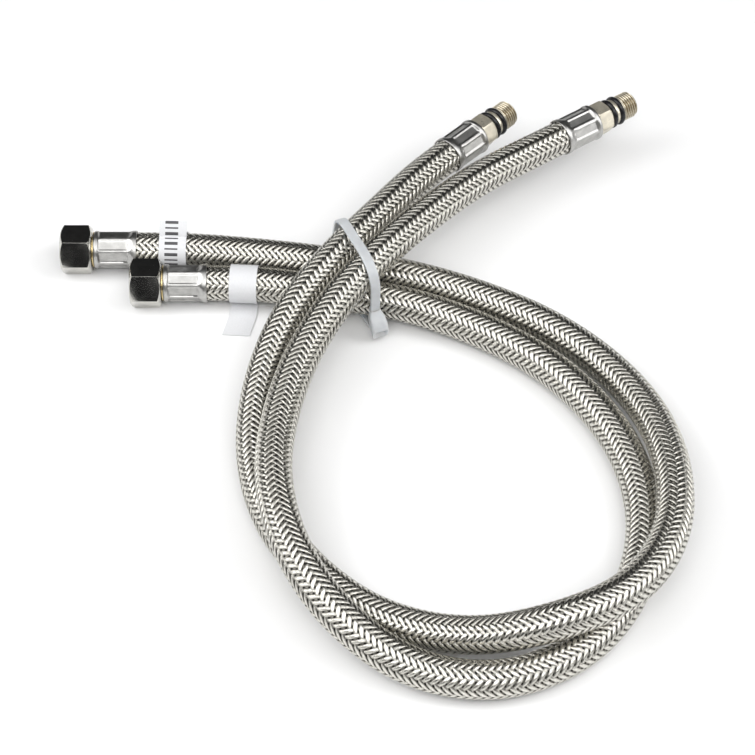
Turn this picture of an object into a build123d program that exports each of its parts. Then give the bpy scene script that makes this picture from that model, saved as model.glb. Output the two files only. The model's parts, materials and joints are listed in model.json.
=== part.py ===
from build123d import *
import math
import os

# A pair of braided stainless tap connectors, laid in one loop and held by a cable tie.
# Millimetres, +Z up. The origin is the middle of the footprint, on the surface that the loop lies on.
# Each hose runs from a swivel nut to a threaded tail with two O-rings.

# Hose section
HOSE_RADIUS = 6.35
BRAID_WALL = 0.7
TUBE_WALL = 1.6
LAYER_GAP = 0.05
CRIMP_SQUEEZE = 0.7
TUBE_SQUEEZE = 0.3

# Crimped sleeve, measured outwards from the mouth where the hose goes in
SLEEVE_LENGTH = 15.6
SLEEVE_WALL = 0.45
SLEEVE_FLATS = 8
FLARE_LENGTH = 1.8
FLARE_TAPER = 1.9
RIM_LENGTH = 1.7
RIM_HEIGHT = 0.65
RIM_ROUNDING = 0.7
RIM_TAPER = 0.5
RIDGE_HEIGHT = 0.3
END_WALL = 1.0
NECK_RADIUS = 3.8
HOSE_END_GAP = 0.15

# Barb inside the hose
BARB_GROOVE = 0.3
BARB_WALL = 0.75
BARB_TEETH = 4
BARB_START = 3.0

# Swivel nut and the stem that it turns on
NUT_ACROSS_FLATS = 15.9
NUT_LENGTH = 11.2
NUT_THREAD_RADIUS = 6.6
NUT_LIP = 2.4
NUT_CHAMFER = 0.9
NUT_RELIEF_DEPTH = 0.3
NUT_MOUTH_CHAMFER = 0.4
NUT_SIDE_PLAY = 0.08
NUT_END_PLAY = 0.25
COLLAR_RADIUS = 6.4
COLLAR_LENGTH = 0.4
SWIVEL_RADIUS = 4.8
FLANGE_SIDE_GAP = 0.45
FLANGE_THICKNESS = 1.2
WASHER_BASE = 0.9
WASHER_HEIGHT = 2.4
WASHER_TAPER = 1.7
WASHER_HOLE_GAP = 0.2
FACE_GAP = 0.05

# Threaded tail
TAIL_ACROSS_FLATS = 11.0
TAIL_HEX_LENGTH = 5.8
TAIL_HEX_CHAMFER = 0.5
TAIL_THREAD_RADIUS = 5.0
TAIL_THREAD_LENGTH = 6.2
TAIL_THREAD_CHAMFER = 0.7
RING_SECTION = 1.9
RING_OUTSIDE = 11.2
RING_FIT = 0.03
RING_LAND_STEP = 0.25
RING_FIRST_LAND = 0.8
RING_MIDDLE_LAND = 1.4
RING_LAST_LAND = 0.2

# Paper tags
TAG_WIDTH = 9.8
TAG_THICKNESS = 0.3
TAG_SLACK = 0.25
REAR_TAG_DISTANCE = 12.9
REAR_FLAG_LENGTH = 5.2
REAR_FLAG_LEAN = 50.0
FRONT_TAG_DISTANCE = 12.9
FRONT_FLAG_REACH = 19.0
FLOOR_GAP = 0.1

# Cable tie, a band in an upright plane across the crossing
TIE_WIDTH = 3.6
TIE_THICKNESS = 1.1
TIE_FRONT = (3.9, 29.3)
TIE_HEADING = 112.8
TIE_OUTLINE = [(0.1, 1.3), (36.3, 1.3), (29.7, 28.9), (-1.9, 30.4)]
TIE_CORNER = 6.0
TIE_HEAD_WIDTH = 6.4
TIE_HEAD_HEIGHT = 5.6
TIE_HEAD_DEPTH = 4.4
TIE_HEAD_LIFT = 0.4
TIE_HEAD_GAP = 0.6

# Where each hose lies, from the mouth of its nut sleeve to the mouth of its tail sleeve
REAR_ROUTE = [
    (-81.4, 61.0, 7.95), (-64.0, 61.0, 7.95), (-38.5, 58.5, 7.6), (-11.0, 54.0, 7.9), (16.5, 47.6, 7.9),
    (43.0, 38.2, 6.5), (67.3, 23.8, 6.4), (87.3, 3.5, 6.6), (99.3, -22.0, 11.0), (103.8, -49.5, 16.0),
    (101.2, -77.5, 17.6), (86.6, -102.2, 20.0), (60.5, -114.5, 19.0), (33.5, -113.2, 9.5),
    (6.3, -104.0, 6.4), (-15.3, -86.0, 6.4), (-30.6, -62.3, 6.4), (-36.8, -34.5, 6.8),
    (-35.0, -6.3, 10.4), (-26.0, 19.5, 17.2), (-11.0, 42.0, 22.0), (5.3, 64.0, 22.0),
    (20.8, 85.3, 21.7), (31.2, 96.2, 21.5),
]
FRONT_ROUTE = [
    (-55.3, 44.1, 7.95), (-39.6, 44.1, 7.95), (-15.0, 40.2, 7.9), (13.0, 35.2, 7.9), (39.0, 24.7, 6.5),
    (62.2, 8.7, 6.4), (80.2, -12.7, 6.4), (91.6, -38.5, 6.4), (94.4, -66.5, 6.4), (87.2, -94.0, 6.4),
    (69.8, -116.8, 6.4), (43.3, -128.4, 6.4), (14.8, -123.5, 7.2), (-8.0, -107.9, 14.6),
    (-23.0, -84.3, 19.4), (-29.3, -56.7, 19.7), (-27.8, -28.5, 17.4), (-21.0, -1.5, 18.6),
    (-8.1, 23.6, 22.3), (8.4, 46.0, 23.9), (25.2, 66.8, 22.2), (43.0, 85.8, 20.6),
    (60.4, 99.8, 18.9), (73.4, 109.1, 18.7),
]
CORNER_SHARE = 0.45

# Worked out from the sizes above
CRIMPED_HOSE_RADIUS = HOSE_RADIUS - CRIMP_SQUEEZE
CRIMPED_TUBE_WALL = TUBE_WALL - TUBE_SQUEEZE
CRIMPED_SLEEVE_RADIUS = CRIMPED_HOSE_RADIUS + LAYER_GAP + SLEEVE_WALL
RIM_RADIUS = CRIMPED_SLEEVE_RADIUS + RIM_HEIGHT
FLARE_RADIUS = HOSE_RADIUS + LAYER_GAP + SLEEVE_WALL
HOSE_END = SLEEVE_LENGTH - END_WALL - HOSE_END_GAP
CRIMP_START = FLARE_LENGTH + FLARE_TAPER
RIM_START = SLEEVE_LENGTH - RIM_LENGTH
TUBE_RADIUS = HOSE_RADIUS - BRAID_WALL - LAYER_GAP
CRIMPED_TUBE_RADIUS = CRIMPED_HOSE_RADIUS - BRAID_WALL - LAYER_GAP
BARB_RADIUS = CRIMPED_TUBE_RADIUS - CRIMPED_TUBE_WALL - LAYER_GAP
BORE_RADIUS = BARB_RADIUS - BARB_GROOVE - BARB_WALL
COLLAR_START = SLEEVE_LENGTH + FACE_GAP
NUT_BACK = COLLAR_START + COLLAR_LENGTH + NUT_END_PLAY
NUT_FACE = NUT_BACK + NUT_LENGTH
FLANGE_START = NUT_BACK + NUT_LIP + NUT_END_PLAY
FLANGE_END = FLANGE_START + FLANGE_THICKNESS
WASHER_START = FLANGE_END + FACE_GAP
WASHER_END = WASHER_START + WASHER_HEIGHT
FLANGE_RADIUS = NUT_THREAD_RADIUS - FLANGE_SIDE_GAP
HEX_START = SLEEVE_LENGTH + FACE_GAP
HEX_END = HEX_START + TAIL_HEX_LENGTH
GROOVE_WIDTH = RING_SECTION + 2 * RING_FIT
RING_LAND_RADIUS = TAIL_THREAD_RADIUS - RING_LAND_STEP
RING_CENTRE_RADIUS = (RING_OUTSIDE - RING_SECTION) / 2
GROOVE_RADIUS = RING_CENTRE_RADIUS - RING_SECTION / 2 - RING_FIT
INNER_GROOVE = HEX_END + RING_FIRST_LAND
OUTER_GROOVE = INNER_GROOVE + GROOVE_WIDTH + RING_MIDDLE_LAND
TAIL_THREAD_START = OUTER_GROOVE + GROOVE_WIDTH + RING_LAST_LAND
TAIL_END = TAIL_THREAD_START + TAIL_THREAD_LENGTH


def turned(points):
    """Solid of revolution about Z from (radius, height) points."""
    outline = [(radius, 0, height) for radius, height in points]
    return revolve(make_face(Polyline(*outline, close=True)), Axis.Z)


def hexagon_bar(across_flats, start, end):
    """Hexagonal bar along Z."""
    section = RegularPolygon(across_flats / 2, 6, major_radius=False)
    return Pos(0, 0, start) * extrude(section, end - start)


def chamfered_hexagon(across_flats, start, end, chamfer):
    """Hexagonal bar whose corners are turned off at both ends."""
    corner = across_flats / math.sqrt(3)
    lead = chamfer * math.tan(math.radians(30)) + (corner - across_flats / 2) * math.tan(math.radians(30))
    low = across_flats / 2 - chamfer / 2
    blank = turned([
        (0, start), (low, start), (corner + 0.01, start + lead),
        (corner + 0.01, end - lead), (low, end), (0, end),
    ])
    return hexagon_bar(across_flats, start, end) & blank


def sleeve():
    """Crimped sleeve: flared mouth, long pressed flats, rounded rim and an end wall."""
    outside = [
        (0, 0), (FLARE_RADIUS, 0), (FLARE_RADIUS, FLARE_LENGTH),
        (CRIMPED_SLEEVE_RADIUS + RIDGE_HEIGHT, CRIMP_START),
        (CRIMPED_SLEEVE_RADIUS + RIDGE_HEIGHT, RIM_START - RIM_TAPER),
        (RIM_RADIUS, RIM_START), (RIM_RADIUS, SLEEVE_LENGTH), (0, SLEEVE_LENGTH),
    ]
    shell = turned(outside)
    shell = fillet(shell.edges().filter_by(GeomType.CIRCLE).sort_by(Axis.Z)[-1], RIM_ROUNDING)
    flat_length = RIM_START - RIM_TAPER - CRIMP_START
    flat_middle = CRIMP_START + flat_length / 2
    ring = Cylinder(RIM_RADIUS + 1, flat_length)
    octagon = RegularPolygon(CRIMPED_SLEEVE_RADIUS, SLEEVE_FLATS, major_radius=False)
    pressed = extrude(octagon, flat_length / 2, both=True)
    shell -= Pos(0, 0, flat_middle) * (ring - pressed)
    inside_flare = HOSE_RADIUS + LAYER_GAP
    inside_crimp = CRIMPED_HOSE_RADIUS + LAYER_GAP
    cavity = turned([
        (0, -1), (inside_flare, -1), (inside_flare, FLARE_LENGTH), (inside_crimp, CRIMP_START),
        (inside_crimp, SLEEVE_LENGTH - END_WALL), (NECK_RADIUS + LAYER_GAP, SLEEVE_LENGTH - END_WALL),
        (NECK_RADIUS + LAYER_GAP, SLEEVE_LENGTH + 1), (0, SLEEVE_LENGTH + 1),
    ])
    return shell - cavity


def barb_outline():
    """(radius, height) points of the barb, from its tip inside the hose to the neck."""
    points = [(BORE_RADIUS, BARB_START), (BARB_RADIUS - BARB_GROOVE, BARB_START)]
    pitch = (HOSE_END - BARB_START) / BARB_TEETH
    for tooth in range(BARB_TEETH):
        foot = BARB_START + tooth * pitch
        points += [(BARB_RADIUS, foot + pitch * 0.7), (BARB_RADIUS - BARB_GROOVE, foot + pitch * 0.75)]
        points += [(BARB_RADIUS - BARB_GROOVE, foot + pitch)]
    return points + [(NECK_RADIUS, HOSE_END), (NECK_RADIUS, SLEEVE_LENGTH)]


def nut_stem():
    """Brass stem: barb, collar, the neck that the nut turns on, and the flange that keeps it."""
    return turned(barb_outline() + [
        (NECK_RADIUS, COLLAR_START), (COLLAR_RADIUS, COLLAR_START),
        (COLLAR_RADIUS, COLLAR_START + COLLAR_LENGTH), (SWIVEL_RADIUS, COLLAR_START + COLLAR_LENGTH),
        (SWIVEL_RADIUS, FLANGE_START), (FLANGE_RADIUS, FLANGE_START), (FLANGE_RADIUS, FLANGE_END),
        (BORE_RADIUS, FLANGE_END),
    ])


def swivel_nut():
    """Hexagonal nut with a lip behind the flange, a relief round the washer, and the threaded wall."""
    body = chamfered_hexagon(NUT_ACROSS_FLATS, NUT_BACK, NUT_FACE, NUT_CHAMFER)
    hole_radius = SWIVEL_RADIUS + NUT_SIDE_PLAY
    lip_top = NUT_BACK + NUT_LIP
    relief_radius = NUT_THREAD_RADIUS + NUT_RELIEF_DEPTH
    relief_end = WASHER_END + FACE_GAP
    mouth_radius = NUT_THREAD_RADIUS + NUT_MOUTH_CHAMFER
    hollow = turned([
        (0, NUT_BACK - 1), (hole_radius, NUT_BACK - 1), (hole_radius, lip_top),
        (relief_radius, lip_top), (relief_radius, relief_end), (NUT_THREAD_RADIUS, relief_end),
        (NUT_THREAD_RADIUS, NUT_FACE - NUT_MOUTH_CHAMFER), (mouth_radius, NUT_FACE),
        (mouth_radius, NUT_FACE + 1), (0, NUT_FACE + 1),
    ])
    return body - hollow


def cone_washer():
    """Rubber cone washer on the flange."""
    base = WASHER_START + WASHER_BASE
    tip_radius = FLANGE_RADIUS - WASHER_TAPER
    hole_radius = BORE_RADIUS + WASHER_HOLE_GAP
    return turned([
        (hole_radius, WASHER_START), (FLANGE_RADIUS, WASHER_START), (FLANGE_RADIUS, base),
        (tip_radius, WASHER_END), (hole_radius, WASHER_END),
    ])


def tail():
    """Threaded tail: barb, hexagon, two ring grooves and the threaded end."""
    spindle = turned(barb_outline() + [
        (NECK_RADIUS, HEX_END), (RING_LAND_RADIUS, HEX_END), (RING_LAND_RADIUS, INNER_GROOVE),
        (GROOVE_RADIUS, INNER_GROOVE), (GROOVE_RADIUS, INNER_GROOVE + GROOVE_WIDTH),
        (RING_LAND_RADIUS, INNER_GROOVE + GROOVE_WIDTH), (RING_LAND_RADIUS, OUTER_GROOVE),
        (GROOVE_RADIUS, OUTER_GROOVE), (GROOVE_RADIUS, OUTER_GROOVE + GROOVE_WIDTH),
        (RING_LAND_RADIUS, OUTER_GROOVE + GROOVE_WIDTH), (RING_LAND_RADIUS, TAIL_THREAD_START),
        (TAIL_THREAD_RADIUS, TAIL_THREAD_START), (TAIL_THREAD_RADIUS, TAIL_END - TAIL_THREAD_CHAMFER),
        (TAIL_THREAD_RADIUS - TAIL_THREAD_CHAMFER, TAIL_END), (BORE_RADIUS, TAIL_END),
    ])
    hexagon = chamfered_hexagon(TAIL_ACROSS_FLATS, HEX_START, HEX_END, TAIL_HEX_CHAMFER)
    bore = Pos(0, 0, TAIL_END / 2) * Cylinder(BORE_RADIUS, 2 * TAIL_END)
    return spindle + (hexagon - bore)


def o_ring(groove_start):
    """Rubber ring in the groove that starts at the given height."""
    middle = groove_start + GROOVE_WIDTH / 2
    return Pos(0, 0, middle) * Torus(RING_CENTRE_RADIUS, RING_SECTION / 2)


def hose_end(outer, wall, crimped_outer, crimped_wall):
    """The last stretch of one layer of the hose, necked down inside its sleeve."""
    return turned([
        (outer - wall, 0), (outer, 0), (outer, FLARE_LENGTH), (crimped_outer, CRIMP_START),
        (crimped_outer, HOSE_END), (crimped_outer - crimped_wall, HOSE_END),
        (crimped_outer - crimped_wall, CRIMP_START), (outer - wall, FLARE_LENGTH),
    ])


def corner_radii(points):
    """The largest arc that each corner's two runs allow."""
    radii = []
    for before, corner, after in zip(points, points[1:], points[2:]):
        run_in = Vector(corner) - Vector(before)
        run_out = Vector(after) - Vector(corner)
        half_turn = math.radians(run_in.get_angle(run_out)) / 2
        radii.append(CORNER_SHARE * min(run_in.length, run_out.length) / math.tan(half_turn))
    return radii


def outward_frame(mouth, inner_point):
    """Frame at a sleeve's mouth whose Z points out of the hose, towards the fitting."""
    out = Vector(mouth) - Vector(inner_point)
    return Plane(origin=mouth, z_dir=out, x_dir=level_normal(mouth, inner_point))


def level_normal(mouth, inner_point):
    """A level direction square to the hose."""
    along = Vector(mouth) - Vector(inner_point)
    return Vector(-along.Y, along.X, 0).normalized()


def layer(path, start_frame, outer, wall, crimped_outer, crimped_wall, end_frame):
    """One layer of a hose, from inside one sleeve to inside the other."""
    section = Circle(outer) - Circle(outer - wall)
    run = sweep(Plane(origin=path @ 0, z_dir=path % 0) * section, path=path)
    ends = hose_end(outer, wall, crimped_outer, crimped_wall)
    return run + start_frame * ends + end_frame * ends


def band_outline(points):
    """Outline of the tie's loop in its own plane, with rounded corners."""
    face = make_face(Polyline(*points, close=True))
    return fillet(face.vertices(), TIE_CORNER)


def cable_tie():
    """Nylon tie round all four passes, with its head low at the front."""
    inner = band_outline(TIE_OUTLINE)
    band = extrude(offset(inner, TIE_THICKNESS), TIE_WIDTH / 2, both=True)
    band -= extrude(inner, TIE_WIDTH, both=True)
    front = TIE_OUTLINE[0][0] - TIE_HEAD_GAP
    head = Pos(front - TIE_HEAD_DEPTH / 2, TIE_HEAD_LIFT + TIE_HEAD_HEIGHT / 2, 0) * Box(
        TIE_HEAD_DEPTH, TIE_HEAD_HEIGHT, TIE_HEAD_WIDTH)
    head = fillet(head.edges(), 0.8)
    head -= extrude(inner, TIE_WIDTH, both=True)
    heading = math.radians(TIE_HEADING)
    along = (math.cos(heading), math.sin(heading), 0)
    across = (math.sin(heading), -math.cos(heading), 0)
    plane = Plane(origin=(*TIE_FRONT, 0), x_dir=along, z_dir=across)
    return plane * (band + head)


def tag_ring():
    """Closed band of a paper tag round the hose, in the plane square to it."""
    inner = HOSE_RADIUS + TAG_SLACK
    return Circle(inner + TAG_THICKNESS) - Circle(inner)


def rear_tag():
    """Tag whose free end leans up and back from the top of the hose."""
    top = HOSE_RADIUS + TAG_SLACK
    lean = math.radians(REAR_FLAG_LEAN)
    reach = (REAR_FLAG_LENGTH * math.cos(lean), REAR_FLAG_LENGTH * math.sin(lean))
    flag = make_face(Polyline(
        (0, top), (reach[0], top + reach[1]), (reach[0] - TAG_THICKNESS, top + reach[1] + TAG_THICKNESS),
        (-TAG_THICKNESS, top + TAG_THICKNESS), close=True))
    return tag_ring() + flag


def front_tag():
    """Tag whose free end droops from under the hose to the floor in front."""
    bottom = -(HOSE_RADIUS + TAG_SLACK)
    floor = -FRONT_ROUTE[0][2] + FLOOR_GAP
    flag = make_face(Polyline(
        (0, bottom), (0, bottom - TAG_THICKNESS), (-FRONT_FLAG_REACH, floor),
        (-FRONT_FLAG_REACH, floor + TAG_THICKNESS), close=True))
    return tag_ring() + flag


def placed_tag(section, path, distance):
    """Tag of the given section, its middle at a distance along the hose from its nut sleeve."""
    share = distance / path.length
    along = path.tangent_at(share)
    square = Plane(origin=path.position_at(share), x_dir=(-along.Y, along.X, 0), z_dir=along)
    return square * extrude(section, TAG_WIDTH / 2, both=True)


def save(name, shape):
    """Write one node."""
    export_step(shape, os.path.join("parts", name + ".step"))


def build_hose(name, route):
    """Every piece of one hose but its tag. Returns the line that the hose follows."""
    path = FilletPolyline(*route, radius=corner_radii(route))
    print(name, "corner radii", [round(radius) for radius in corner_radii(route)])
    print(name, "hose between sleeves", round(path.length, 1))
    print(name, "overall", round(path.length + NUT_FACE + TAIL_END, 1))
    nut_frame = outward_frame(route[0], route[1])
    tail_frame = outward_frame(route[-1], route[-2])
    braid = layer(
        path, nut_frame, HOSE_RADIUS, BRAID_WALL, CRIMPED_HOSE_RADIUS, BRAID_WALL, tail_frame)
    tube = layer(
        path, nut_frame, TUBE_RADIUS, TUBE_WALL, CRIMPED_TUBE_RADIUS, CRIMPED_TUBE_WALL, tail_frame)
    annulus = math.pi * (HOSE_RADIUS ** 2 - (HOSE_RADIUS - BRAID_WALL) ** 2)
    print(name, "braid volume", round(braid.volume), "against", round(annulus * path.length))
    save(name + "_braid", braid)
    save(name + "_inner_tube", tube)
    save(name + "_nut_sleeve", nut_frame * sleeve())
    save(name + "_nut_stem", nut_frame * nut_stem())
    save(name + "_swivel_nut", nut_frame * swivel_nut())
    save(name + "_cone_washer", nut_frame * cone_washer())
    save(name + "_tail_sleeve", tail_frame * sleeve())
    save(name + "_tail", tail_frame * tail())
    save(name + "_inner_o_ring", tail_frame * o_ring(INNER_GROOVE))
    save(name + "_outer_o_ring", tail_frame * o_ring(OUTER_GROOVE))
    return path


os.makedirs("parts", exist_ok=True)
rear_path = build_hose("rear", REAR_ROUTE)
front_path = build_hose("front", FRONT_ROUTE)
save("rear_tag", placed_tag(rear_tag(), rear_path, REAR_TAG_DISTANCE))
save("front_tag", placed_tag(front_tag(), front_path, FRONT_TAG_DISTANCE))
save("cable_tie", cable_tie())
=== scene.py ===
import json
import math

import bmesh
import bpy
from mathutils import Matrix, Vector, geometry

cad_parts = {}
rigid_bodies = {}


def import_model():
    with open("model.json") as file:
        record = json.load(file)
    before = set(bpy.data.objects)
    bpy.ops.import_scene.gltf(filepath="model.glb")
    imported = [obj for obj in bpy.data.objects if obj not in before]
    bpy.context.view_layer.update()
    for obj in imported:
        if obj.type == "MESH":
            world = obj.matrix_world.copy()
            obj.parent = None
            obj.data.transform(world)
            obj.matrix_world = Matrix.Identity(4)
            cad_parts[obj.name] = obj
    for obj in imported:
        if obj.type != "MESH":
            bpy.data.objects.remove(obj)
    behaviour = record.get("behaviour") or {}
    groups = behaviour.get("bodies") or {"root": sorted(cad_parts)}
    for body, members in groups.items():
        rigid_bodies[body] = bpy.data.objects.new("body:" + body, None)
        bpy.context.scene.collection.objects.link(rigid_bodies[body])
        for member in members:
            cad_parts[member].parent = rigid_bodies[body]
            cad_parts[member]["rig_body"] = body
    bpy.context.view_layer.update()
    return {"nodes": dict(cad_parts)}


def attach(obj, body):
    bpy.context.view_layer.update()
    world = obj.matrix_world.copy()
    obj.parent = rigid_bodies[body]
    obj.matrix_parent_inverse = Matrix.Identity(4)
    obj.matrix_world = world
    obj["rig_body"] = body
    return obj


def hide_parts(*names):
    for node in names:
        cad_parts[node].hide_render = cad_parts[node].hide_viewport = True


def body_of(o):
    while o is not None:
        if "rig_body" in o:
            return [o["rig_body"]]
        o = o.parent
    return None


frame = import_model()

bl_info = {
    "name": "Braided tap connectors",
    "version": (1, 0, 0),
    "blender": (4, 5, 0),
    "location": "3D View > Sidebar > Tap connectors",
    "description": "Builds a tied pair of braided hoses with swivel nuts and threaded tails",
    "category": "Add Mesh",
}

MM = 0.001
BODY = "hoses"

# Where each hose lies, from the mouth of its nut sleeve to the mouth of its tail sleeve, in millimetres.
ROUTES = {
    "rear": [
        (-81.4, 61.0, 7.95), (-64.0, 61.0, 7.95), (-38.5, 58.5, 7.6), (-11.0, 54.0, 7.9), (16.5, 47.6, 7.9),
        (43.0, 38.2, 6.5), (67.3, 23.8, 6.4), (87.3, 3.5, 6.6), (99.3, -22.0, 11.0), (103.8, -49.5, 16.0),
        (101.2, -77.5, 17.6), (86.6, -102.2, 20.0), (60.5, -114.5, 19.0), (33.5, -113.2, 9.5),
        (6.3, -104.0, 6.4), (-15.3, -86.0, 6.4), (-30.6, -62.3, 6.4), (-36.8, -34.5, 6.8),
        (-35.0, -6.3, 10.4), (-26.0, 19.5, 17.2), (-11.0, 42.0, 22.0), (5.3, 64.0, 22.0),
        (20.8, 85.3, 21.7), (31.2, 96.2, 21.5),
    ],
    "front": [
        (-55.3, 44.1, 7.95), (-39.6, 44.1, 7.95), (-15.0, 40.2, 7.9), (13.0, 35.2, 7.9), (39.0, 24.7, 6.5),
        (62.2, 8.7, 6.4), (80.2, -12.7, 6.4), (91.6, -38.5, 6.4), (94.4, -66.5, 6.4), (87.2, -94.0, 6.4),
        (69.8, -116.8, 6.4), (43.3, -128.4, 6.4), (14.8, -123.5, 7.2), (-8.0, -107.9, 14.6),
        (-23.0, -84.3, 19.4), (-29.3, -56.7, 19.7), (-27.8, -28.5, 17.4), (-21.0, -1.5, 18.6),
        (-8.1, 23.6, 22.3), (8.4, 46.0, 23.9), (25.2, 66.8, 22.2), (43.0, 85.8, 20.6),
        (60.4, 99.8, 18.9), (73.4, 109.1, 18.7),
    ],
}
SLEEVE_PANELS = 8
SLEEVE_FLAT = 5.88
SLEEVE_RIB = 6.52
SLEEVE_INSIDE = 6.0
SLEEVE_TURN = math.radians(8.0)

# Outlines are (radius, height) points in millimetres, with the height from the sleeve's mouth outwards.
SLEEVE_OUTLINE = [
    (6.47, 0.0), (6.62, -0.06), (6.8, 0.0), (6.88, 0.12), (6.9, 0.4), (6.9, 0.9), (6.88, 1.3), (6.84, 1.6),
    (6.78, 1.9), (6.72, 2.2), (6.66, 2.5), (6.6, 2.8), (6.54, 3.1), (6.5, 3.4), (6.48, 3.7), (6.46, 4.0),
    (6.46, 4.4), (6.46, 5.0), (6.46, 7.0), (6.46, 9.0), (6.46, 11.0), (6.46, 12.2), (6.46, 12.7), (6.46, 13.0),
    (6.46, 13.25), (6.47, 13.45), (6.5, 13.65), (6.56, 13.8), (6.66, 13.92), (6.76, 14.05), (6.81, 14.25),
    (6.82, 14.6), (6.82, 15.0), (6.76, 15.25), (6.6, 15.45), (6.35, 15.57), (6.0, 15.6), (5.4, 15.6),
    (5.3, 15.4), (5.3, 4.6), (5.6, 4.0), (5.99, 3.6), (5.995, 3.4),
]
TAIL_FLAT = 5.5
TAIL_HEX = (15.65, 21.45)
TAIL_THREAD = (27.8, 33.97)
TAIL_OUTLINE = [
    (2.5, 11.0), (4.4, 11.0), (4.4, 15.65), (5.65, 15.65), (5.95, 15.8), (6.2, 16.05), (6.35, 16.35),
    (6.35, 20.75), (6.2, 21.05), (5.95, 21.3), (5.65, 21.45), (4.9, 21.45), (4.75, 21.55), (4.75, 22.1),
    (4.7, 22.25), (3.67, 22.25), (3.67, 24.21), (4.7, 24.21), (4.75, 24.3), (4.75, 25.5), (4.7, 25.61),
    (3.67, 25.61), (3.67, 27.57), (4.7, 27.57), (4.78, 27.65), (4.8, 27.8),
]
TIP_CHAMFER = 0.75
TIP_FACE_STEP = 0.8
TAIL_BORE = 2.5
TAIL_BORE_CHAMFER = (0.4, 0.35)
TAG_DISTANCE = 12.9
TAG_WIDTH = 9.8
TIE_FRONT = (3.9, 29.3)
TIE_HEADING = 112.8
TIE_FOOT_REACH = -0.0014
TIE_FOOT_HEIGHTS = (0.0022, 0.006, 0.0095)
TIE_LOWEST = 0.0008
TIE_SPAN = (-0.02, 0.05)
TIE_PATH_POINTS = 160

# The tie's head: distance along its spine, width and depth, in millimetres.
TIE_HEAD = [
    (0.0, 3.7, 1.3), (1.2, 3.9, 1.5), (2.2, 4.5, 2.2), (3.2, 5.3, 3.0), (4.4, 5.8, 3.7), (6.0, 6.1, 4.1),
    (7.6, 6.1, 4.2), (8.3, 5.9, 4.0), (8.6, 5.5, 3.6), (8.55, 4.7, 2.8), (8.1, 4.3, 2.5), (5.6, 4.0, 2.2),
]
TIE_HEAD_SPINE = ((-1.2, 12.6), (-1.4, 8.2), (-6.4, 3.3))
TIE_HEAD_LENGTH = 8.6
NUT_THREAD = (22.7, 27.05)
NUT_THREAD_RADIUS = 6.58
NUT_THREAD_DEPTH = 0.42
NUT_LINER_RADIUS = 6.7
THREAD_RUN_IN = 0.5
THREAD_RUN_OUT = 0.6
PROFILE_POINTS_PER_TURN = 10
WEAVE_STEEPNESS = 1.9

# Each light's name, place, aim, width, height and power, in metres and watts.
LIGHTS = [
    ("Top box", (0.0, -0.3, 1.3), (0.0, -0.3, 0.0), 2.2, 1.5, 16.0),
    ("Front box", (0.0, -1.0, 1.15), (0.0, 0.0, 0.0), 1.2, 0.7, 9.0),
    ("Left box", (-0.9, -0.05, 0.6), (0.0, 0.0, 0.0), 0.6, 1.0, 7.0),
    ("Right box", (0.9, -0.1, 0.6), (0.0, 0.0, 0.0), 0.6, 1.0, 6.0),
]
CAMERA_PLACE = (5.5, -563.0, 631.7)
CAMERA_AIM = (5.5, 5.8, 0.0)
CAMERA_LENS = 115.9
FLOOR_REACH = 3.0


# ---------------------------------------------------------------- settings

def size_setting(name, description, default):
    """A length in metres that a user can change."""
    return bpy.props.FloatProperty(name=name, description=description, default=default, unit="LENGTH")


def count_setting(name, description, default, least):
    """A count that a user can change."""
    return bpy.props.IntProperty(name=name, description=description, default=default, min=least)


def color_setting(name, description, default):
    """A base colour that a user can change."""
    return bpy.props.FloatVectorProperty(
        name=name, description=description, default=default, size=3, subtype="COLOR")


class HoseSettings(bpy.types.PropertyGroup):
    """Sizes of the hose and its woven cover."""
    diameter: size_setting("Diameter", "Outside diameter over the braid", 0.0127)
    core_radius: size_setting("Tube radius", "Outside radius of the rubber tube", 0.0056)
    strands: count_setting("Strands", "Flat strands that wind each way", 12, 4)
    lead: size_setting("Lead", "Length of hose in which a strand winds round once", 0.0286)
    strand_width: size_setting("Strand width", "Width of a flat strand", 0.00152)
    strand_thickness: size_setting("Strand thickness", "Thickness of a strand at its crown", 0.00054)
    weave_depth: size_setting("Weave depth", "Rise and fall of a strand from its middle radius", 0.00017)
    overrun: size_setting("Overrun", "How far the braid runs into a sleeve", 0.0016)
    wires: count_setting("Wires", "Wires side by side in a strand", 6, 1)


class FittingSettings(bpy.types.PropertyGroup):
    """Sizes of the turned and pressed fittings."""
    edge: size_setting("Edge rounding", "Rounding of a machined edge", 0.00016)
    tail_thread_radius: size_setting("Tail thread radius", "Radius over the tail's thread", 0.005)
    tail_thread_depth: size_setting("Tail thread depth", "Depth of the tail's thread", 0.00058)
    tail_pitch: size_setting("Tail pitch", "Pitch of the tail's thread", 0.001)
    nut_pitch: size_setting("Nut pitch", "Pitch of the nut's thread", 0.00106)


class TrimSettings(bpy.types.PropertyGroup):
    """Sizes of the nylon tie and the paper tags."""
    tie_width: size_setting("Tie width", "Width of the tie's band", 0.0035)
    tie_thickness: size_setting("Tie thickness", "Thickness of the tie's band", 0.0011)
    tie_slack: size_setting("Tie slack", "Gap between the band and the hoses", 0.0004)
    paper_thickness: size_setting("Paper thickness", "Thickness of a folded tag", 0.00026)
    tag_radius: size_setting("Tag radius", "Middle radius of a tag round the hose", 0.00675)


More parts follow.
